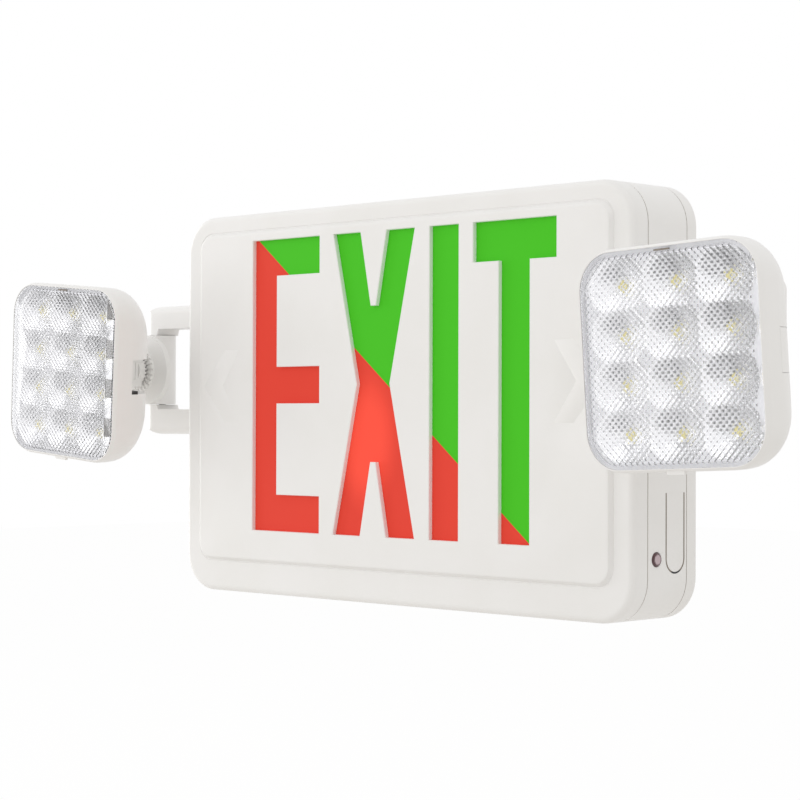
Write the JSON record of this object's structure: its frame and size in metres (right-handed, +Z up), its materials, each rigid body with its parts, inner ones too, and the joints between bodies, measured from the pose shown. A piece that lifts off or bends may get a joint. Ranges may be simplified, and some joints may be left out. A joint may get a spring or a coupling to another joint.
{
  "type": "emergency exit light",
  "caption": "Wall-hung emergency exit light: a shallow sign housing with a square adjustable lamp head on a forked yoke at each side.",
  "frame": {"origin": "middle of the back plate's rear face, which lies on the wall", "axes": "+X to the sign's right, +Z up, +Y into the wall, so the sign and its lamps face -Y"},
  "size_m": [0.517, 0.0936, 0.201],
  "materials": {
    "housing_white": "smooth, satin",
    "diffuser": "translucent, satin",
    "circuit_board": "satin",
    "led": "gloss",
    "dark_parts": "matt",
    "steel": "plain zinc",
    "core_iron": "varnished laminations",
    "battery_wrap": "shrink sleeve",
    "lamp_red": "gloss",
    "clear_lens": "clear, with fine prisms",
    "reflector": "bright metallised"
  },
  "bodies": {
    "housing": {"back_plate": "housing_white", "housing_frame": "housing_white", "front_cover": "housing_white", "diffuser_panel": "diffuser", "light_tray": "housing_white", "lower_led_strip": "circuit_board", "upper_led_strip": "circuit_board", "sign_leds": "led", "main_board": "circuit_board", "side_board": "circuit_board", "board_parts": "dark_parts", "board_screws": "steel", "case_screws": "steel", "yoke_screws": "steel", "transformer": "core_iron", "battery_pack": "battery_wrap", "battery_strap": "steel", "terminal_block": "dark_parts", "test_switch": "dark_parts", "charge_lamp": "lamp_red", "charge_led": "lamp_red", "left_yoke": "housing_white", "left_pivot_pin": "steel", "right_yoke": "housing_white", "right_pivot_pin": "steel"},
    "left_swivel": {"left_swivel_block": "housing_white", "left_shoulder_screw": "steel", "left_ratchet_spring": "steel"},
    "left_knuckle": {"left_knuckle": "housing_white"},
    "left_head": {"left_casing": "housing_white", "left_hinge_pin": "steel", "left_lens": "clear_lens", "left_reflector": "reflector", "left_lamp_board": "circuit_board", "left_lamp_leds": "led"},
    "right_swivel": {"right_swivel_block": "housing_white", "right_shoulder_screw": "steel", "right_ratchet_spring": "steel"},
    "right_knuckle": {"right_knuckle": "housing_white"},
    "right_head": {"right_casing": "housing_white", "right_hinge_pin": "steel", "right_lens": "clear_lens", "right_reflector": "reflector", "right_lamp_board": "circuit_board", "right_lamp_leds": "led"},
    "test_button": {"test_button": "housing_white"},
    "test_plunger": {"test_plunger": "dark_parts"}
  },
  "joints": [
    {"name": "left_head_pan", "type": "hinge", "parent": "housing", "child": "left_swivel", "pos_m": [-0.209, -0.021, 0.0195], "axis": [0, 0, -1], "range_deg": [-15, 60]},
    {"name": "left_head_roll", "type": "hinge", "parent": "left_swivel", "child": "left_knuckle", "pos_m": [-0.209, -0.0336, 0.0195], "axis": [0, 0.9994, 0.0349], "range_deg": [-90, 90]},
    {"name": "left_head_tilt", "type": "hinge", "parent": "left_knuckle", "child": "left_head", "pos_m": [-0.209, -0.06758, 0.01831], "axis": [0.0872, -0.0348, 0.9956], "range_deg": [0, 45]},
    {"name": "right_head_pan", "type": "hinge", "parent": "housing", "child": "right_swivel", "pos_m": [0.209, -0.021, 0.0195], "axis": [0, 0, 1], "range_deg": [-15, 60]},
    {"name": "right_head_roll", "type": "hinge", "parent": "right_swivel", "child": "right_knuckle", "pos_m": [0.209, -0.0336, 0.0195], "axis": [0, 0.9994, 0.0349], "range_deg": [-90, 90]},
    {"name": "right_head_tilt", "type": "hinge", "parent": "right_knuckle", "child": "right_head", "pos_m": [0.209, -0.06758, 0.01831], "axis": [-0.0419, -0.0349, 0.9985], "range_deg": [0, 45]},
    {"name": "test_button_press", "type": "hinge", "parent": "housing", "child": "test_button", "pos_m": [0.1542, -0.01685, -0.0414], "axis": [0, 1, 0], "range_deg": [0, 2.6], "stiffness_Nm_per_rad": 1},
    {"name": "test_plunger_slide", "type": "slide", "parent": "housing", "child": "test_plunger", "axis": [-1, 0, 0], "range_m": [0, 0.0014]}
  ],
  "couplings": [
    {"joint": "test_plunger_slide", "follows": "test_button_press", "m_per_rad": 0.028}
  ]
}
